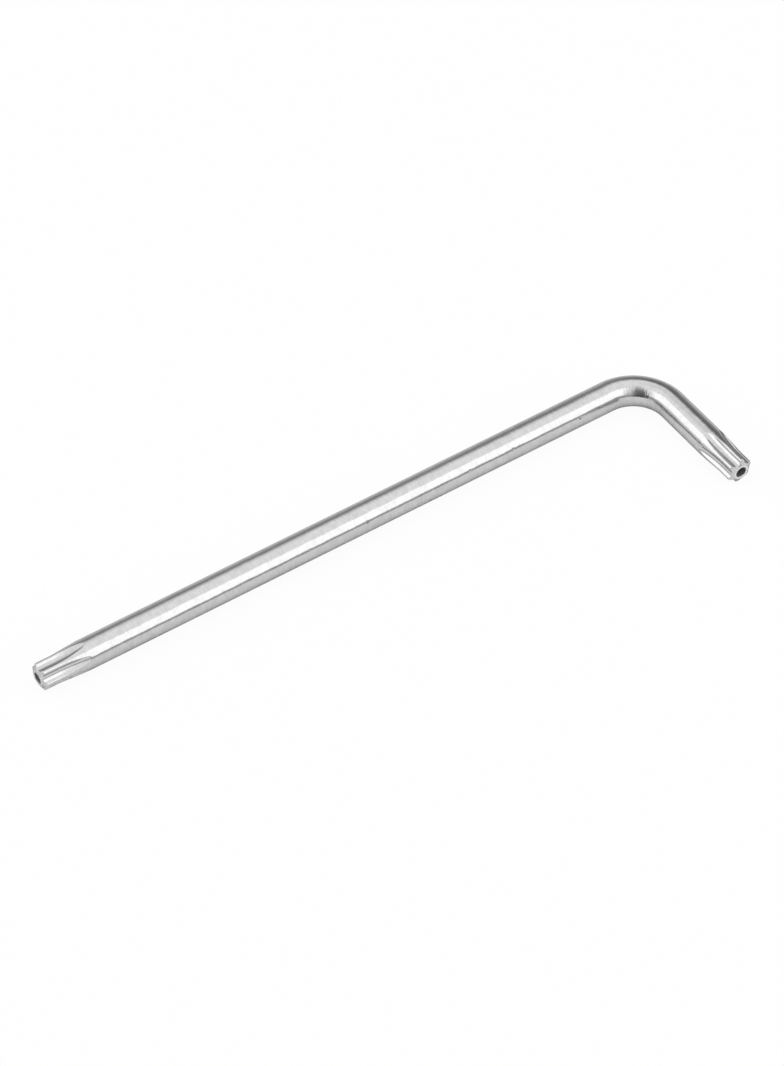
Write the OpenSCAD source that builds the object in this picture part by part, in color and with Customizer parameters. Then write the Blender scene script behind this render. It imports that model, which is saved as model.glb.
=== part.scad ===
// Star-drive key: one round steel bar bent once, with a six-lobed star at both ends.
// The key lies flat, as it comes to rest: both arms are in the horizontal plane,
// the long arm along X with its star at -X, the short arm along Y with its star at -Y.
// The origin is at the centre of the key's footprint, on the surface it lies on.

/* [Bar] */
// Diameter of the round bar
bar_d = 6; // [5.6:0.1:8]
// Overall length of the long arm, from its face to the outside of the short arm
long_len = 140; // [90:1:220]
// Overall length of the short arm, from its face to the outside of the long arm
short_len = 34; // [30:0.5:60]
// Radius of the bar's centreline in the bend
bend_r = 9; // [7:0.5:14]

/* [Star] */
// Diameter over the lobes, to which each end of the bar is turned down
star_d = 5.55; // [5.4:0.05:5.7]
// Diameter across the roots of the flutes
root_d = 3.95; // [3.8:0.05:4.1]
// Radius that rounds both shoulders of each lobe
lobe_r = 0.46; // [0.4:0.01:0.5]
// How far the turned land cuts short the round crest of each lobe
land_cut = 0.03; // [0.01:0.01:0.05]
// Length of the flutes' parallel part, from the face
flute_len = 3; // [2:0.1:6]
// Radius of the arc on which each flute rises out of the bar
runout_r = 25; // [15:1:40]
// Length turned to the star's diameter, from the face
turned_len = 3.5; // [1.5:0.1:6]
// Length of the taper from there up to the bar's full diameter
taper_len = 6; // [2:0.5:8]
// Angle from straight up to a lobe of the long arm
long_turn = 30; // [0:1:59]
// Angle from straight up to a lobe of the short arm
short_turn = 10; // [0:1:59]

/* [Nose] */
// Diameter of the flat ring left round the pin hole
face_d = 3.2; // [2.8:0.1:3.6]
// Length of the cone from that ring up to the lobes
nose_len = 0.6; // [0.3:0.05:1.2]

/* [Pin hole] */
// Diameter of the hole that goes over a screw's security pin
hole_d = 2.3; // [1.5:0.05:2.6]
// Depth of the hole's parallel wall
hole_depth = 4; // [2:0.1:6]
// Full angle of the cone that the drill leaves at the bottom
drill_angle = 118; // [90:1:140]

/* [Hidden] */
$fn = 96;

LOBES = 6;
HALF_PITCH = 180 / LOBES;
BITE = 0.005; // how far a flute's arc runs into the shoulders beside it, so that they cross
WING = 20;    // angle at which a shoulder's arc stops, beyond the turned diameter
OVER = 1;     // how far a cutter runs past the face and past the bar

bar_r = bar_d / 2;
star_r = star_d / 2;
root_r = root_d / 2;
hole_r = hole_d / 2;

// Each arm is straight from its face to the start of the bend
corner_x = long_len / 2 - bar_r;
corner_y = short_len / 2 - bar_r;
long_straight = long_len - bar_r - bend_r;
short_straight = short_len - bar_r - bend_r;

// Centre of a shoulder's round, seen along the middle of the flute beside it
lobe_centre = star_r + land_cut - lobe_r;
lobe_x = lobe_centre * cos(HALF_PITCH);
lobe_y = lobe_centre * sin(HALF_PITCH);
wing_y = lobe_y + lobe_r * sin(WING);

// The flute's arc touches its root and both shoulders, which fixes its radius
flute_r = (lobe_centre ^ 2 + root_r ^ 2 - lobe_r ^ 2 - 2 * lobe_x * root_r)
    / (2 * (lobe_x + lobe_r - root_r)) + BITE;

// The cutter's wheel turns until its rim is clear of the bar, by whole degrees
wheel_x = root_r + runout_r;
runout_angle = ceil(acos(1 - (bar_r - root_r + OVER) / runout_r));

// Section of one flute's cutter: x outward from the bar's centreline, y across the flute
module flute_section() {
    translate([root_r + flute_r, 0]) circle(r = flute_r);
    difference() {
        polygon([
            [root_r + flute_r, 0],
            [lobe_x, lobe_y],
            [lobe_x, wing_y],
            [bar_r + OVER, wing_y],
            [bar_r + OVER, -wing_y],
            [lobe_x, -wing_y],
            [lobe_x, -lobe_y]
        ]);
        for (side = [-1, 1]) translate([lobe_x, side * lobe_y]) circle(r = lobe_r);
    }
}

// One flute's cutter: straight from the face, then on the rim of a large wheel out of the bar
module flute_cutter() {
    translate([0, 0, -OVER]) linear_extrude(flute_len + OVER) flute_section();
    translate([wheel_x, 0, flute_len]) rotate([90, 0, 0])
        rotate_extrude(angle = runout_angle, start = 180 - runout_angle)
            translate([wheel_x, 0]) mirror([1, 0]) flute_section();
}

// The turned blank of one arm, standing on its face
module blank(length) {
    rotate_extrude() polygon([
        [0, 0],
        [face_d / 2, 0],
        [star_r, nose_len],
        [star_r, turned_len],
        [bar_r, turned_len + taper_len],
        [bar_r, length],
        [0, length]
    ]);
}

// The drilled hole, with the drill's cone at its bottom
module pin_hole() {
    rotate_extrude() polygon([
        [0, -OVER],
        [hole_r, -OVER],
        [hole_r, hole_depth],
        [0, hole_depth + hole_r / tan(drill_angle / 2)]
    ]);
}

// One arm, standing on its face; turn is the angle from +X to a lobe
module arm(length, turn) {
    difference() {
        blank(length);
        for (i = [0 : LOBES - 1]) rotate([0, 0, turn + (2 * i + 1) * HALF_PITCH]) flute_cutter();
        pin_hole();
    }
}

module bend() {
    rotate_extrude(angle = 90) translate([bend_r, 0]) circle(r = bar_r);
}

module star_key() {
    color("silver") union() {
        translate([-long_len / 2, corner_y, bar_r]) rotate([0, 90, 0]) arm(long_straight, 180 + long_turn);
        translate([corner_x, -short_len / 2, bar_r]) rotate([-90, 0, 0]) arm(short_straight, -90 + short_turn);
        translate([corner_x - bend_r, corner_y - bend_r, bar_r]) bend();
    }
}

star_key();
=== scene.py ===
# %% [markdown]
# # A star-drive key
# The object is one round bar of hardened tool steel, bent once, with a six-lobed star formed at
# both ends and a pin hole drilled in each star. Its coat of bright nickel mirrors the room softly.
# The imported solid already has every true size. It could simply be given a better material, but its
# facets are too coarse for a metal that mirrors, so one finer skin is built here in the same place.
# The solid is loaded first, because all that follows is measured from it.

# %% Load the frame
import math

import bmesh
import bpy
from mathutils import Matrix, Vector


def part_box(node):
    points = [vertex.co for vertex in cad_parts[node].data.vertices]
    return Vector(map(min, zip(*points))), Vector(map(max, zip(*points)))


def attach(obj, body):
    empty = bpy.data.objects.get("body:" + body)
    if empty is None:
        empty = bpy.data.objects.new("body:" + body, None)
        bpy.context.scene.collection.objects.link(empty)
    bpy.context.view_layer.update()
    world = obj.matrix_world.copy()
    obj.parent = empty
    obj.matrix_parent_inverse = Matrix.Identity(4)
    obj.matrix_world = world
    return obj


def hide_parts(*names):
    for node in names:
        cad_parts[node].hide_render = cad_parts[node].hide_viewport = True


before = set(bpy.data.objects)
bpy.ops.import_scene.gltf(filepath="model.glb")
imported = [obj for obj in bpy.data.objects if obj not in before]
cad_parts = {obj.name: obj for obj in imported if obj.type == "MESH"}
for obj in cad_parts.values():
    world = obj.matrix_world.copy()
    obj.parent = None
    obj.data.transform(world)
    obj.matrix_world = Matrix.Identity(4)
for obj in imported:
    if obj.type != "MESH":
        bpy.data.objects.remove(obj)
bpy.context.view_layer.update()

low, high = (Vector(corner) * 1000 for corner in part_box("star_key"))
print("solid, mm:", [round(c, 2) for c in low], "to", [round(c, 2) for c in high])

# %% [markdown]
# ## The camera
# A small object is best seen from a good distance through a long lens, so that its near end isn't
# swollen. Azimuth and elevation say from where the camera looks, and roll leans it a little to one
# side. The camera could come last, but as the first thing it shows every later step as it will be.

# %% Camera
AZIMUTH, ELEVATION, ROLL = (math.radians(a) for a in (-33.250, 46.759, -0.932))
CAMERA_AT = Vector((-0.279004, -0.423207, 0.550669))  # m
SENSOR_HEIGHT, FOCAL_LEN = 36, 135.163  # mm
NEAREST, FARTHEST = 0.01, 20  # m

back = Vector((
    math.sin(AZIMUTH) * math.cos(ELEVATION),
    -math.cos(AZIMUTH) * math.cos(ELEVATION),
    math.sin(ELEVATION),
))
level = Vector((0, 0, 1)).cross(back).normalized()
upright = back.cross(level)
right = math.cos(ROLL) * level + math.sin(ROLL) * upright
up = math.cos(ROLL) * upright - math.sin(ROLL) * level

lens = bpy.data.cameras.new("camera")
lens.sensor_fit = "VERTICAL"
lens.sensor_height, lens.lens = SENSOR_HEIGHT, FOCAL_LEN
lens.clip_start, lens.clip_end = NEAREST, FARTHEST
camera = bpy.data.objects.new("camera", lens)
bpy.context.scene.collection.objects.link(camera)
facing = Matrix((right, up, back)).transposed().to_4x4()
camera.matrix_world = Matrix.Translation(CAMERA_AT) @ facing
bpy.context.scene.camera = camera
bpy.context.scene.view_settings.view_transform = "Standard"
print("camera at", [round(c, 3) for c in camera.matrix_world.translation], "m")

# %% [markdown]
# ## Sizes
# The overall sizes are read off the solid. The rest repeats the solid's own driving sizes, in
# millimetres. Metres could be used throughout, as Blender does, but millimetres are easier to
# read, and the finished mesh is scaled to metres once, at the end.

# %% Sizes, in millimetres
BAR_R = (high.z - low.z) / 2
BEND_R = 9.0  # to the middle of the bar
STAR_R, ROOT_R = 2.775, 1.975  # over the lobes, and at the flutes' roots
LOBE_R, LAND_CUT = 0.46, 0.03  # a lobe's rounded shoulder, and how much of its crest is turned off
FLUTE_LEN, WHEEL_R = 3.0, 25.0  # the flutes' parallel part, and the arc on which they climb out
TURNED_LEN, TAPER_LEN = 3.5, 6.0
FACE_R, NOSE_LEN = 1.6, 0.6
HOLE_R, HOLE_DEPTH, DRILL_ANGLE = 1.15, 4.0, math.radians(118)
LONG_STRAIGHT = high.x - BAR_R - BEND_R - low.x
SHORT_STRAIGHT = high.y - BAR_R - BEND_R - low.y
BEND_LEN = BEND_R * math.pi / 2
ROD_LEN = LONG_STRAIGHT + BEND_LEN + SHORT_STRAIGHT
print("bar before bending, mm:", round(ROD_LEN, 2), "long and", round(2 * BAR_R, 2), "thick")

# %% [markdown]
# ## One flute
# Six flutes between the lobes make the star. Each was cut by a round-edged wheel, or pressed by a
# die of that shape: it runs straight from the tip, and then climbs out of the bar on the wheel's
# rim. In section a flute is an arc that rolls over into the rounded shoulders beside it. The star
# could be drawn once and extruded, but then its run-out would be missing. Here one function gives
# how far the metal reaches at any angle from a flute's middle and any depth from the tip.

# %% How far the metal reaches beside a flute
HALF_PITCH = math.radians(30)
LOBE_AT = STAR_R + LAND_CUT - LOBE_R
LOBE_X, LOBE_Y = LOBE_AT * math.cos(HALF_PITCH), LOBE_AT * math.sin(HALF_PITCH)
FLUTE_R = LOBE_AT**2 + ROOT_R**2 - LOBE_R**2 - 2 * LOBE_X * ROOT_R
FLUTE_R /= 2 * (LOBE_X + LOBE_R - ROOT_R)
TOUCH_Y = LOBE_Y * FLUTE_R / (FLUTE_R + LOBE_R)


def bisect(inside, near, far):
    """The value at which inside changes, from true at near to false at far."""
    for _ in range(40):
        middle = (near + far) / 2
        near, far = (middle, far) if inside(middle) else (near, middle)
    return (near + far) / 2


def section_x(y):
    """Height of the straight flute's section over the bar's middle, at y from its own middle."""
    if y < TOUCH_Y:
        return ROOT_R + FLUTE_R - math.sqrt(FLUTE_R**2 - y**2)
    return LOBE_X + math.sqrt(max(0.0, LOBE_R**2 - (y - LOBE_Y) ** 2))


def flute_reach(angle, depth):
    """Radius of the metal at an angle from a flute's middle, if the flute alone were cut."""
    climb = max(0.0, depth - FLUTE_LEN)

    def in_metal(radius):
        rim = ROOT_R + WHEEL_R - section_x(radius * math.sin(angle))
        return radius * math.cos(angle) < ROOT_R + WHEEL_R - math.sqrt(rim**2 - climb**2)

    return bisect(in_metal, ROOT_R / 2, BAR_R * 2)


def turned_reach(depth):
    """Radius of the turned blank: the star's at the tip, then a slow taper up to the bar's."""
    return STAR_R + (BAR_R - STAR_R) * min(1.0, max(0.0, (depth - TURNED_LEN) / TAPER_LEN))


print("flute radius, mm:", round(FLUTE_R, 3), "root", round(flute_reach(0, 0), 3))
flute_end = bisect(lambda depth: flute_reach(0, depth) < BAR_R, FLUTE_LEN, WHEEL_R)
print("flute's end, mm from the tip:", round(flute_end, 2))

# %% [markdown]
# ## Half a pitch of a ring
# The star repeats every sixth of a turn, and each sixth is its own mirror image, so half a pitch
# is enough to describe a ring round the bar. Cutting flutes with a boolean would be quick, but it
# leaves long thin triangles, which show as scratches in a mirror. Columns that crowd together
# where a flute meets the land give clean edges with few faces. A bar that was tumbled and plated
# has no knife edges, so the shoulders are rounded a little, which also lowers the lobes by about a
# hundredth of a millimetre.

# %% Half a pitch of a ring
FLUTE_COLUMNS, LAND_COLUMNS = 16, 8
HALF = FLUTE_COLUMNS + LAND_COLUMNS  # columns from a flute's middle to a lobe's middle
COLUMNS = 12 * HALF
CROWDING = 1.5  # above 1, the columns crowd together at a flute's edge
NARROWEST = math.radians(2.5)  # half a flute's least width, so that its columns stay apart
SOFT = 0.1  # how far from a shoulder its rounding starts, mm


def soft_min(a, b):
    """The smaller of two reaches, rounded where they are nearly equal."""
    near = max(0.0, SOFT - abs(a - b)) / SOFT
    return min(a, b) - near**2 * SOFT / 4


def fluted_ring(depth):
    """(depth, radius, angle) of each column, from a flute's middle at angle 0 to a lobe's."""
    blank = turned_reach(depth)
    edge = bisect(lambda angle: flute_reach(angle, depth) < blank, 0.0, HALF_PITCH)
    edge = max(edge, NARROWEST)
    land = HALF_PITCH - edge
    angles = [edge * (1 - (1 - i / FLUTE_COLUMNS) ** CROWDING) for i in range(FLUTE_COLUMNS)]
    angles += [edge + land * (i / LAND_COLUMNS) ** CROWDING for i in range(LAND_COLUMNS + 1)]
    return [(depth, soft_min(flute_reach(a, depth), blank), a) for a in angles]


star_ring = fluted_ring(0.0)
print("columns:", COLUMNS, "star over its lobes, mm:", round(2 * star_ring[-1][1], 3))

# %% [markdown]
# ## Pin hole, face and nose
# Seen from the pole at the bottom of the pin hole, an end is a row of rings: up the hole, over its
# mouth, across the face and down the nose's cone. These could be separate discs and tubes, joined
# later, but one row of rings has no seams to close. The edges of the mouth and of the nose are
# rounded, because light on a rounded edge is what makes it look like metal.

# %% Pin hole, face and nose
MOUTH_R = 0.06  # radius of the hole's rounded mouth, mm
TUMBLED_R = 0.16  # radius of the rounded edge between the nose and the star, mm
RIM_SUNK = 0.005  # how far the face's rim is tumbled down, mm
CORNER_CUT = 0.05  # how far up the hole's wall the corner at its bottom is cut, mm
NEAR = 0.03  # from an edge to the ring beside it, mm
EDGE_STEPS = 7


def cone_depth(radius):
    """Depth of the nose's cone at a radius."""
    return NOSE_LEN * (radius - FACE_R) / (STAR_R - FACE_R)


drill_slope = math.tan(DRILL_ANGLE / 2)
steps = [  # depth and radius
    (HOLE_DEPTH + HOLE_R * (1 - share) / drill_slope, HOLE_R * share)
    for share in (0, 0.25, 0.6, 0.97)
]
wall = [HOLE_DEPTH - CORNER_CUT]
wall += [HOLE_DEPTH * i / 8 for i in range(7, 0, -1)]
wall += [MOUTH_R + 3 * NEAR, MOUTH_R]
steps += [(depth, HOLE_R) for depth in wall]
HOLE_RINGS = len(steps)
for turn in (math.pi / 6, math.pi / 3, math.pi / 2):
    steps.append((MOUTH_R * (1 - math.sin(turn)), HOLE_R + MOUTH_R * (1 - math.cos(turn))))
steps += [(0, r) for r in (HOLE_R + MOUTH_R + NEAR, FACE_R - 2 * NEAR, FACE_R - NEAR)]
FACE_RINGS = len(steps)
past_rim = FACE_R + 2 / 3 * NEAR
steps += [(RIM_SUNK, FACE_R), (cone_depth(past_rim), past_rim)]
end_rings = [[(depth, radius, a) for _, _, a in star_ring] for depth, radius in steps]

cone_angle = math.atan(NOSE_LEN / (STAR_R - FACE_R))
tangent = TUMBLED_R * math.tan((math.pi / 2 - cone_angle) / 2)  # sharp edge to the rounding's end
cone_from = FACE_R + NEAR
cone_to = [r - tangent * math.cos(cone_angle) for _, r, _ in star_ring]
for share in (0.0, 0.3, 0.7, 0.97):
    radii = [cone_from + (end - cone_from) * share for end in cone_to]
    end_rings.append([(cone_depth(r), r, a) for r, (_, _, a) in zip(radii, star_ring)])
for step in range(EDGE_STEPS + 1):  # from the cone's slope to the star's side
    lean = cone_angle + (math.pi / 2 - cone_angle) * step / EDGE_STEPS
    down, inward = tangent - TUMBLED_R * math.cos(lean), TUMBLED_R * (1 - math.sin(lean))
    end_rings.append([(cone_depth(r) + down, r - inward, a) for _, r, a in star_ring])
print("rings in the hole:", HOLE_RINGS, "and as far as the nose's edge:", len(end_rings))

# %% [markdown]
# ## Star and run-out
# From the nose the rings run along the parallel star, up the wheel's arc and onto the round bar.
# Even steps all the way would be simpler, but a flute's tip is the one place where its outline
# changes fast. So the rings lie wide apart on the parallel part and close together at the tips.

# %% Star and run-out
CLIMB_STEP, CLIMB_RINGS = 0.2, 30  # up the wheel's arc; steps in mm
RUNOUT_STEP, RUNOUT_RINGS = 0.07, 20  # round the flutes' tips
SPREAD_LEN = 3.5  # in which the columns spread out evenly again, mm


def eased(share):
    """A share from 0 to 1, changed so that it starts and ends slowly."""
    return share * share * (3 - 2 * share)


for share in (0.01, 0.1, 0.3, 0.5, 0.75, 1.0):
    end_rings.append([
        ((cone_depth(r) + tangent) * (1 - share) + FLUTE_LEN * share, r, a)
        for _, r, a in star_ring
    ])
runout_from = FLUTE_LEN + CLIMB_STEP * CLIMB_RINGS
end_rings += [fluted_ring(FLUTE_LEN + CLIMB_STEP * i) for i in range(1, CLIMB_RINGS + 1)]
end_rings += [fluted_ring(runout_from + RUNOUT_STEP * i) for i in range(1, RUNOUT_RINGS + 1)]
last_fluted = end_rings[-1]
for share in (0.1, 0.2, 0.35, 0.5, 0.7, 0.85, 1.0):
    even = eased(share)
    end_rings.append([
        (depth + SPREAD_LEN * share, BAR_R, a * (1 - even) + HALF_PITCH * i / HALF * even)
        for i, (depth, _, a) in enumerate(last_fluted)
    ])
PLAIN_FROM = end_rings[-1][0][0]
print("rings of one end:", len(end_rings), "plain bar from, mm:", round(PLAIN_FROM, 2))

# %% [markdown]
# ## The straight bar
# The real key is cut from a ground bar, its ends are formed, and only then is it bent. A path
# could be bent from the start, but made in the real order every ring is a plain circle of places
# on a straight bar. The two stars don't line up with each other, so the columns turn slowly along
# the round bar between them, where it can't be seen.

# %% Places on the straight bar
LONG_LOBE, SHORT_LOBE = 0.0, math.radians(20)  # a lobe's angle from the bend's outer side
LONG_STEPS, BEND_STEPS, SHORT_STEPS = 14, 48, 5  # along the plain bar


def all_round(half_ring, lobe, from_far_end=False):
    """A ring's points on the straight bar: half a pitch, mirrored at the flute and repeated."""
    points = []
    for column in range(COLUMNS):
        pitch, step = divmod(column, 2 * HALF)
        depth, radius, angle = half_ring[abs(step - HALF)]
        turn = lobe + (2 * pitch + 1) * HALF_PITCH + math.copysign(angle, step - HALF)
        along = ROD_LEN - depth if from_far_end else depth
        points.append(Vector((along, radius * math.cos(turn), radius * math.sin(turn))))
    return points


bend_from, bend_to, plain_to = LONG_STRAIGHT, LONG_STRAIGHT + BEND_LEN, ROD_LEN - PLAIN_FROM
long_step = (bend_from - PLAIN_FROM) / LONG_STEPS
plain = [PLAIN_FROM + long_step * i for i in range(1, LONG_STEPS + 1)]
plain += [bend_from + BEND_LEN * i / BEND_STEPS for i in range(1, BEND_STEPS + 1)]
plain += [bend_to + (plain_to - bend_to) * i / SHORT_STEPS for i in range(1, SHORT_STEPS)]
places = [all_round(ring, LONG_LOBE) for ring in end_rings]
for along in plain:
    turned = eased((along - PLAIN_FROM) / (plain_to - PLAIN_FROM))
    round_ring = [(along, BAR_R, HALF_PITCH * i / HALF) for i in range(HALF + 1)]
    places.append(all_round(round_ring, LONG_LOBE + (SHORT_LOBE - LONG_LOBE) * turned))
places += [all_round(ring, SHORT_LOBE, from_far_end=True) for ring in reversed(end_rings)]
print("rings from pole to pole:", len(places))

# %% [markdown]
# ## Extrude it
# One circle is extruded ring by ring, from the bottom of one pin hole to the bottom of the other,
# and each ring's points are moved to their place as it is made. The faces could be listed by hand
# instead, but the operator joins each ring to the last one without a mistake.
# Two marks are kept on the points for the metal's sake: which lie inside the holes, where plating
# hardly reaches and painted shade darkens them, and which lie on the flat end faces, which were cut
# last and get painted light that makes them paler.

# %% Extrude the straight bar
skin = bmesh.new()
column_of = skin.verts.layers.int.new("column")
# inside the holes the colour is darkened partly for the bare steel and partly as painted shade
bored_at = skin.verts.layers.float.new("bored")  # 1 inside the pin holes
faced_at = skin.verts.layers.float.new("faced")  # 1 on the flat end faces
circle = bmesh.ops.create_circle(skin, segments=COLUMNS, radius=BAR_R)["verts"]
for column, vert in enumerate(circle):
    vert[column_of] = column
ring, rim = list(skin.verts), list(skin.edges)
poles = []
for number, points in enumerate(places):
    if number:
        made = bmesh.ops.extrude_edge_only(skin, edges=rim)["geom"]
        rim = [part for part in made if isinstance(part, bmesh.types.BMEdge)]
        ring = [part for part in made if isinstance(part, bmesh.types.BMVert)]
    from_pole = min(number, len(places) - 1 - number)
    for vert in ring:
        vert.co = points[vert[column_of]]
        vert[bored_at] = float(from_pole < HOLE_RINGS)
        vert[faced_at] = float(HOLE_RINGS <= from_pole < FACE_RINGS)
    if number in (0, len(places) - 1):
        poles.append(list(ring))
for pole in poles:
    bmesh.ops.pointmerge(skin, verts=pole, merge_co=pole[0].co)
bmesh.ops.recalc_face_normals(skin, faces=skin.faces)
print("faces:", len(skin.faces), "straight volume, mm3:", round(skin.calc_volume(), 1))

# %% [markdown]
# ## The bend
# The bar is bent cold, round a former, until its arms stand square. A Curve or Simple Deform
# modifier would do it, but its exact arc is hard to tie to the solid's. Moving each point round
# the bend's own centre is a short rule, and the outer side stretches while the inner side is
# pressed together, as in the real metal. Each point's place on the straight bar is kept first, so
# that the marks in the metal can follow it round the bend, and so is how far into the bend it
# lies, because metal that is bent cold grows rough there.

# %% Bend it
on_rod = skin.verts.layers.float_vector.new("rod")  # m
strained_at = skin.verts.layers.float.new("strained")  # 1 in the middle of the bend
bend_centre = Vector((high.x - BAR_R - BEND_R, high.y - BAR_R - BEND_R, BAR_R))
for vert in skin.verts:
    vert[on_rod] = vert.co / 1000
    along, outward, height = vert.co
    turn = min(max((along - bend_from) / BEND_R, 0.0), math.pi / 2)
    vert[strained_at] = math.sin(2 * turn)
    beyond = min(along - bend_from, 0.0) + max(along - bend_to, 0.0)
    radius = BEND_R + outward
    vert.co = bend_centre + Vector((
        radius * math.sin(turn) + beyond * math.cos(turn),
        radius * math.cos(turn) - beyond * math.sin(turn),
        height,
    ))
print("bent volume, mm3:", round(skin.calc_volume(), 1))

# %% [markdown]
# ## The key's skin
# The bent mesh is scaled to metres and becomes the one visible piece of the key. Scaling the
# object would look the same, but its mesh would then not be in the solid's own frame. It rides on
# the solid's body, and the solid itself is hidden.

# %% The key's skin
bmesh.ops.scale(skin, vec=(0.001, 0.001, 0.001), verts=skin.verts)
for face in skin.faces:
    face.smooth = True
key_mesh = bpy.data.meshes.new("bent_key")
skin.to_mesh(key_mesh)
skin.free()
key = bpy.data.objects.new("bent_key", key_mesh)
bpy.context.scene.collection.objects.link(key)
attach(key, "root")
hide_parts("star_key")
print("triangles:", sum(len(face.vertices) - 2 for face in key_mesh.polygons))

# %% [markdown]
# ## Two helpers
# Colours are easiest to choose as sRGB hex values, but a shader reckons in linear light, so one
# function turns the one into the other. A second one adds any node with its settings and its
# links, which keeps a material as short as a list of its nodes. An input goes by its name, or by
# its number where several share one name, as the A and B of a Mix node do.

# %% Two helpers


def linear(code):
    """The linear RGBA of an sRGB hex colour."""
    parts = [int(code[i : i + 2], 16) / 255 for i in (1, 3, 5)]
    return (*[c / 12.92 if c <= 0.04045 else ((c + 0.055) / 1.055) ** 2.4 for c in parts], 1.0)


def add_node(tree, kind, links=None, **settings):
    """Adds a node. settings are its own properties; links give its inputs a value or a socket."""
    node = tree.nodes.new(kind)
    for name, value in settings.items():
        setattr(node, name, value)
    for name, value in (links or {}).items():
        if isinstance(value, bpy.types.NodeSocket):
            tree.links.new(value, node.inputs[name])
        else:
            node.inputs[name].default_value = value
    return node


print("mid grey in linear light:", round(linear("#808080")[0], 3))

# %% [markdown]
# ## The marks in the metal
# The key is tool steel, ground round between two wheels, tumbled with stones and then coated with
# bright nickel a few thousandths of a millimetre thick. The coat is a mirror, but it follows the
# steel under it. Grinding leaves fine marks round the bar and slow waves along it, and tumbling
# leaves small soft dimples, like the skin of an orange. An image of all this could be wrapped
# round the bar, but it would stretch at the ends and in the bend. Noise needs no image, and it is
# laid out on the straight bar here, stretched for the marks and waves and round for the rest.

# %% Marks, waves, dimples and spots
MARK_WIDE, MARK_LONG = 0.3, 1.2  # mm; real marks are about 0.02 wide, too fine to show
WAVE_LONG, WAVE_WIDE = 4.0, 2.0  # mm; a grinding wheel chatters every few millimetres
DIMPLE, SPOT = 0.45, 1.2  # mm; dimples from the stones, and spots where the coat is thinner

nickel = bpy.data.materials.new("bright_nickel_on_ground_steel")
nickel.use_nodes = True
tree = nickel.node_tree
tree.nodes.clear()
on_bar = add_node(tree, "ShaderNodeAttribute", attribute_name="rod").outputs["Vector"]
mark_sizes = add_node(tree, "ShaderNodeMapping", {
    "Vector": on_bar, "Scale": (1000 / MARK_WIDE, 1000 / MARK_LONG, 1000 / MARK_LONG),
})
marks = add_node(tree, "ShaderNodeTexNoise", {
    "Vector": mark_sizes.outputs[0], "Scale": 1.0, "Detail": 2.0,
}).outputs["Fac"]
wave_sizes = add_node(tree, "ShaderNodeMapping", {
    "Vector": on_bar, "Scale": (1000 / WAVE_LONG, 1000 / WAVE_WIDE, 1000 / WAVE_WIDE),
})
waves = add_node(tree, "ShaderNodeTexNoise", {
    "Vector": wave_sizes.outputs[0], "Scale": 1.0, "Detail": 1.0,
}).outputs["Fac"]
dimples = add_node(tree, "ShaderNodeTexNoise", {
    "Vector": on_bar, "Scale": 1000 / DIMPLE, "Detail": 2.0, "Roughness": 0.6,
}).outputs["Fac"]
spots = add_node(tree, "ShaderNodeTexNoise", {
    "Vector": on_bar, "Scale": 1000 / SPOT, "Detail": 1.0, "Roughness": 0.6,
}).outputs["Fac"]
sizes = {"marks": MARK_WIDE, "waves": WAVE_LONG, "dimples": DIMPLE, "spots": SPOT}
print("noise scales, 1/m:", {name: round(1000 / size) for name, size in sizes.items()})

# %% [markdown]
# ## Nicks
# A key that has lain among other tools has a few tiny nicks: here one on the long star, one beside
# the bend and the others between them. They could be cut into the mesh, but each would need a
# patch of much finer faces. A soft ball round each place marks it as well, where the ball meets
# the skin.

# %% Nicks
NICKS = (  # mm from the long tip; degrees from the bend's outer side; radius in mm
    (5.9, 229, 0.5), (57.6, 150, 0.3), (70.5, 152, 0.4), (93.9, 149, 0.3), (104.0, 149, 0.35),
    (106.9, 74, 0.25), (113.5, 152, 0.3), (119.6, 158, 0.35), (124.2, 154, 0.35), (137.4, 150, 0.4),
)

nicks = 0.0
for along, angle, radius in NICKS:
    turn, reach = math.radians(angle), turned_reach(along)
    place = Vector((along, reach * math.cos(turn), reach * math.sin(turn))) / 1000
    away = add_node(tree, "ShaderNodeVectorMath", {0: on_bar, 1: place}, operation="DISTANCE")
    ball = add_node(tree, "ShaderNodeMapRange", {
        "Value": away.outputs["Value"], "From Max": radius / 1000, "To Min": 1.0, "To Max": 0.0,
    }, interpolation_type="SMOOTHSTEP")
    nicks = add_node(tree, "ShaderNodeMath", {
        0: nicks, 1: ball.outputs[0],
    }, operation="MAXIMUM").outputs[0]
print("nicks:", len(NICKS))

# %% [markdown]
# ## The relief
# This relief is at most a few hundredths of a millimetre deep, too little to model. Bump nodes
# tilt the mirror as it would, and leave the outline alone. They are chained, so that one relief
# lies on top of the other: the waves make the long bands of light wander a little, the dimples and
# the marks give them their slightly ragged edges, and the nicks are pressed in last.

# %% Relief
WAVE_DEEP, DIMPLE_DEEP, MARK_DEEP = 42e-6, 5e-6, 14e-6  # m, for noise from 0 to 1
BENT_MARK_DEEP = 30e-6  # m; cold bending opens the marks
NICK_DEEP = 45e-6  # m

waved = add_node(tree, "ShaderNodeBump", {"Height": waves, "Strength": 1.0, "Distance": WAVE_DEEP})
dimpled = add_node(tree, "ShaderNodeBump", {
    "Height": dimples, "Strength": 1.0, "Distance": DIMPLE_DEEP, "Normal": waved.outputs["Normal"],
})
strained = add_node(tree, "ShaderNodeAttribute", attribute_name="strained").outputs["Fac"]
mark_deep = add_node(tree, "ShaderNodeMapRange", {
    "Value": strained, "To Min": MARK_DEEP, "To Max": BENT_MARK_DEEP,
})
marked = add_node(tree, "ShaderNodeBump", {
    "Height": marks, "Strength": 1.0, "Distance": mark_deep.outputs[0],
    "Normal": dimpled.outputs["Normal"],
})
relief = add_node(tree, "ShaderNodeBump", {
    "Height": nicks, "Strength": 1.0, "Distance": NICK_DEEP, "Normal": marked.outputs["Normal"],
}, invert=True).outputs["Normal"]
depths = (WAVE_DEEP, DIMPLE_DEEP, MARK_DEEP, BENT_MARK_DEEP, NICK_DEEP)
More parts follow.
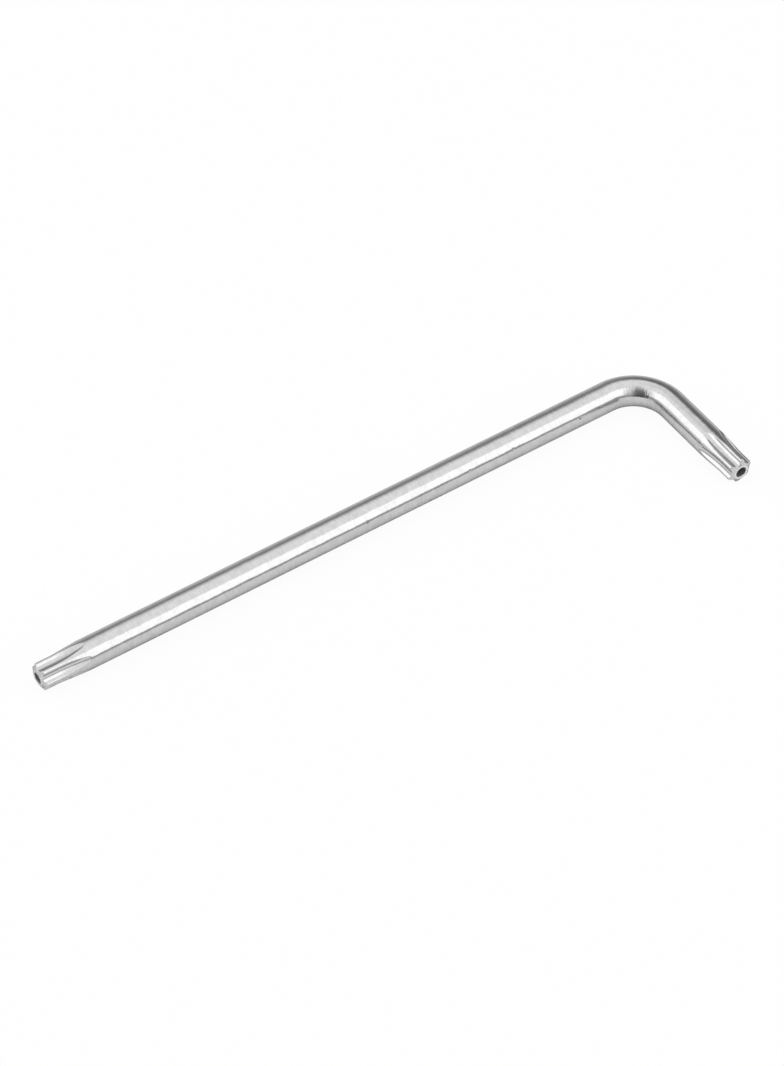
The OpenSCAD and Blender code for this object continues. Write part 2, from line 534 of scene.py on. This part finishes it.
print("relief, thousandths of a mm:", [round(depth * 1e6) for depth in depths])

# %% [markdown]
# ## Colour and shine
# Nickel is a light grey metal, a little darker than silver, and near its outline it stays grey
# where a perfect mirror would turn white. The end faces were cut square last of all, so they are
# satin; their paler colour is painted light, a brighter reflection than the lit paper gives them.
# The plating hardly reaches into the drilled holes, where the steel stays dull, and their darker
# colour is partly that bare steel and partly painted shade. A nick holds a little dirt. Separate
# materials could show this, but their borders would be as sharp as a face's edge. One material
# reads the marks kept on the points instead, and mixes the finishes with the painted light and
# shade.

# %% Colour and shine
THIN_COAT, FULL_COAT = "#C5C5C5", "#D2D2D2"
# The end faces' colour is painted light; the holes' colour is partly bare steel, partly painted
# shade.
FACE_PAINTED_PALER, HOLE_STEEL_AND_SHADE, OLD_NICK = "#EAEAEA", "#B2B2B2", "#808080"
OUTLINE = "#C8C8C8"  # what the mirror keeps of the light near its outline
POLISHED, LESS_POLISHED, SATIN, DULL = 0.11, 0.16, 0.35, 0.6  # roughness
ONE_NOISE, TWO_NOISES = (0.3, 0.7), (0.7, 1.3)  # where one noise, or two added, mostly lie

faced = add_node(tree, "ShaderNodeAttribute", attribute_name="faced").outputs["Fac"]
bored = add_node(tree, "ShaderNodeAttribute", attribute_name="bored").outputs["Fac"]

mottling = add_node(tree, "ShaderNodeMath", {0: spots, 1: marks}, operation="ADD")
mottling = add_node(tree, "ShaderNodeMapRange", {
    "Value": mottling.outputs[0], "From Min": TWO_NOISES[0], "From Max": TWO_NOISES[1],
})
colour = add_node(tree, "ShaderNodeMix", {
    0: mottling.outputs[0], 6: linear(THIN_COAT), 7: linear(FULL_COAT),
}, data_type="RGBA")
# Mixes in the end faces' painted light, the holes' steel with painted shade, and the nicks' dirt.
for where, patch_look in ((faced, FACE_PAINTED_PALER), (bored, HOLE_STEEL_AND_SHADE), (nicks, OLD_NICK)):
    colour = add_node(tree, "ShaderNodeMix", {
        0: where, 6: colour.outputs[2], 7: linear(patch_look),
    }, data_type="RGBA")

rough = add_node(tree, "ShaderNodeMapRange", {
    "Value": dimples, "From Min": ONE_NOISE[0], "From Max": ONE_NOISE[1],
    "To Min": POLISHED, "To Max": LESS_POLISHED,
})
for where, patch_look in ((faced, SATIN), (bored, DULL)):
    rough = add_node(tree, "ShaderNodeMix", {0: where, 2: rough.outputs[0], 3: patch_look})

metal = add_node(tree, "ShaderNodeBsdfPrincipled", {
    "Base Color": colour.outputs[2], "Metallic": 1.0, "Specular Tint": linear(OUTLINE),
    "Roughness": rough.outputs[0], "Normal": relief,
})
add_node(tree, "ShaderNodeOutputMaterial", {"Surface": metal.outputs[0]})
key_mesh.materials.append(nickel)
print("material:", nickel.name, "on", key.name, "with", len(tree.nodes), "nodes")

# %% [markdown]
# ## The softboxes
# A polished bar shows nothing but its surroundings, so the light is made for the metal. Each arm
# gets a long softbox beside it, which the arm mirrors as one white band along its whole length.
# Small lamps would give glittering dots instead. An area lamp is a softbox already: large and
# even, and a little out of focus in this metal. Each one faces the key, and both burn no brighter
# than a white wall, so that colours come out about as they are written.

# %% Softboxes
SOFTBOX_AWAY = 0.8  # m
SOFTBOX_GLOW = 0.5  # radiance, where 1 is white


def softbox(name, along, from_angle, to_angle, span):
    """A softbox along X in front of the key, or along Y at its left.

    Its long edges stand at two angles above the table, in degrees. span says where it starts and
    ends along the arm, in metres.
    """
    outward = Vector((0, -1, 0)) if along.x else Vector((-1, 0, 0))
    edges = [
        SOFTBOX_AWAY * (outward * math.cos(angle) + Vector((0, 0, math.sin(angle))))
        for angle in (math.radians(from_angle), math.radians(to_angle))
    ]
    across = (edges[1] - edges[0]).normalized()
    centre = (edges[0] + edges[1]) / 2
    away = centre.normalized()  # a lamp shines along its own -Z
    light = bpy.data.lights.new(name, "AREA")
    light.shape = "RECTANGLE"
    light.size, light.size_y = span[1] - span[0], (edges[1] - edges[0]).length
    light.energy = SOFTBOX_GLOW * math.pi * light.size * light.size_y  # W
    lamp = bpy.data.objects.new(name, light)
    bpy.context.scene.collection.objects.link(lamp)
    facing = Matrix((across.cross(away), across, away)).transposed().to_4x4()
    lamp.matrix_world = Matrix.Translation(centre + along * (span[0] + span[1]) / 2) @ facing
    print(name, "m:", [round(c, 2) for c in lamp.location], "watts:", round(light.energy, 2))


softbox("front_softbox", Vector((1, 0, 0)), 18, 67, (0.05, 0.95))
softbox("left_softbox", Vector((0, 1, 0)), 64, 18, (0.05, 1.1))

# %% [markdown]
# ## The room round the table
# Round the table stand walls, shelves and somebody dressed in black, under a white ceiling. The
# bar mirrors each as a line along its side, and those lines are what makes it look round and hard.
# A room could be modelled, or an image of one wrapped round the scene, but the first is slow and
# the second needs a file. One colour ramp that runs round the horizon is enough. At each mark its
# red, green, blue and alpha keep four numbers: how bright things are at the table's level, how
# bright just under the skyline, how high the skyline is, and how much of the ceiling's light comes
# from that side.

# %% Marks round the horizon
SKYLINE = (  # azimuth in degrees; at the table's level; under the skyline; skyline; ceiling
    (-180, 0.55, 0.4, 0.33, 1), (-164, 0.5, 0.4, 0.33, 1),
    (-160, 0.06, 0.3, 0.96, 1), (-125, 0.06, 0.3, 0.96, 1),  # somebody dressed in black
    (-118, 0.25, 0.9, 0.92, 1), (-109, 0.35, 1.1, 0.8, 1), (-101, 0.35, 0.9, 0.5, 1),
    (-91, 0.38, 0.4, 0.3, 1), (-84, 0.52, 0.3, 0.22, 1), (-40, 0.52, 0.3, 0.22, 1),
    (-15, 0.5, 0.3, 0.6, 1), (0, 0.48, 0.05, 0.7, 1), (45, 0.48, 0.05, 0.7, 1),  # a dark wall
    (55, 0.53, 0.13, 0.68, 1), (65, 0.57, 0.22, 0.61, 0.84), (75, 0.57, 0.24, 0.6, 0.82),
    (90, 0.6, 0.35, 0.5, 0.87), (105, 0.75, 0.8, 0.25, 1), (150, 0.88, 0.85, 0.25, 1),
    (165, 0.6, 0.6, 0.3, 1), (180, 0.55, 0.4, 0.33, 1),
)

world = bpy.data.worlds.new("studio_room")
bpy.context.scene.world = world
world.use_nodes = True
tree = world.node_tree
tree.nodes.clear()
towards = add_node(tree, "ShaderNodeTexCoord").outputs["Generated"]  # here, a ray's direction
towards = add_node(tree, "ShaderNodeSeparateXYZ", {0: towards})
azimuth = add_node(tree, "ShaderNodeMath", {
    0: towards.outputs["Y"], 1: towards.outputs["X"],
}, operation="ARCTAN2")
azimuth = add_node(tree, "ShaderNodeMapRange", {
    "Value": azimuth.outputs[0], "From Min": -math.pi, "From Max": math.pi,
})
horizon = add_node(tree, "ShaderNodeValToRGB", {"Fac": azimuth.outputs[0]})
stops = horizon.color_ramp.elements
for angle, *_ in SKYLINE[1:-1]:
    stops.new((angle + 180) / 360)
for stop, (angle, *brightness) in zip(stops, SKYLINE):
    stop.position, stop.color = (angle + 180) / 360, brightness
print("marks round the horizon:", len(stops))

# %% [markdown]
# ## Walls and ceiling
# A ray's height, set against the skyline on its side, says what it meets: below it things, whose
# brightness changes evenly on the way up, and above it the ceiling. A hard step between them would
# look cut out, so there is a soft one. The room is for the metal and the light. The camera's own
# rays meet plain white, so that the background stays clean from every side.

# %% Walls and ceiling
CEILING = 1.14  # brightness, where 1 is white
THINGS_TO, CEILING_FROM = 0.75, 1.25  # heights of the soft step, where 1 is the skyline

ceiling = add_node(tree, "ShaderNodeMath", {
    0: horizon.outputs["Alpha"], 1: CEILING,
}, operation="MULTIPLY")
heights = add_node(tree, "ShaderNodeSeparateColor", {0: horizon.outputs["Color"]})
at_table, below, skyline = heights.outputs
height = add_node(tree, "ShaderNodeMath", {
    0: towards.outputs["Z"], 1: skyline,
}, operation="DIVIDE")
things = add_node(tree, "ShaderNodeMix", {0: height.outputs[0], 2: at_table, 3: below})
above = add_node(tree, "ShaderNodeMapRange", {
    "Value": height.outputs[0], "From Min": THINGS_TO, "From Max": CEILING_FROM,
}, interpolation_type="SMOOTHSTEP")
room = add_node(tree, "ShaderNodeMix", {
    0: above.outputs[0], 2: things.outputs[0], 3: ceiling.outputs[0],
})
room = add_node(tree, "ShaderNodeBackground", {
    "Color": (1, 1, 1, 1), "Strength": room.outputs[0],
})
white = add_node(tree, "ShaderNodeBackground", {"Color": (1, 1, 1, 1), "Strength": 1.0})
rays = add_node(tree, "ShaderNodeLightPath")
seen = add_node(tree, "ShaderNodeMixShader", {
    0: rays.outputs["Is Camera Ray"], 1: room.outputs[0], 2: white.outputs[0],
})
add_node(tree, "ShaderNodeOutputWorld", {"Surface": seen.outputs[0]})
print("nodes in the room:", len(tree.nodes), "ceiling:", CEILING)

# %% [markdown]
# ## The table
# The key lies on a wide table. A sweep that curves up behind the key is usual in a studio, but
# seen from this high a flat top already fills the view.

# %% The table
TABLE_HALF = 1.5  # half its width, m
TABLE_BELOW = 0.0001  # a hair under the key, so that no two faces share a place, m

table_top = bmesh.new()
bmesh.ops.create_grid(table_top, x_segments=1, y_segments=1, size=TABLE_HALF)
bmesh.ops.translate(table_top, vec=(0, 0, -TABLE_BELOW), verts=table_top.verts)
table_mesh = bpy.data.meshes.new("table")
table_top.to_mesh(table_mesh)
table_top.free()
table = bpy.data.objects.new("table", table_mesh)
bpy.context.scene.collection.objects.link(table)
print("table, m:", [round(c, 2) for c in table.dimensions])

# %% [markdown]
# ## White paper
# The table is covered with matt white paper, which catches the key's soft shadow. More lamps would
# make it plain white, but they would wash out the key as well. So some white light of its own is
# mixed in. Most of that is for the camera, and a small part for what metal and glass mirror,
# because the paper close to the key lies in its shade and shows grey in it.

# %% White paper
PAPER = "#F8F8F8"
SEEN_GLOW, MIRRORED_GLOW = 0.94, 0.12  # shares of white light in the paper

paper = bpy.data.materials.new("white_paper")
paper.use_nodes = True
tree = paper.node_tree
tree.nodes.clear()
lit = add_node(tree, "ShaderNodeBsdfDiffuse", {"Color": linear(PAPER)})
glow = add_node(tree, "ShaderNodeEmission", {"Color": (1, 1, 1, 1), "Strength": 1.0})
rays = add_node(tree, "ShaderNodeLightPath")
mirrored = add_node(tree, "ShaderNodeMath", {
    0: rays.outputs["Is Glossy Ray"], 1: rays.outputs["Is Transmission Ray"],
}, operation="MAXIMUM")
mirrored = add_node(tree, "ShaderNodeMath", {
    0: mirrored.outputs[0], 1: MIRRORED_GLOW,
}, operation="MULTIPLY")
share = add_node(tree, "ShaderNodeMath", {
    0: rays.outputs["Is Camera Ray"], 1: SEEN_GLOW, 2: mirrored.outputs[0],
}, operation="MULTIPLY_ADD")
seen = add_node(tree, "ShaderNodeMixShader", {
    0: share.outputs[0], 1: lit.outputs[0], 2: glow.outputs[0],
})
add_node(tree, "ShaderNodeOutputMaterial", {"Surface": seen.outputs[0]})
table_mesh.materials.append(paper)
print("material:", paper.name, "on", table.name)
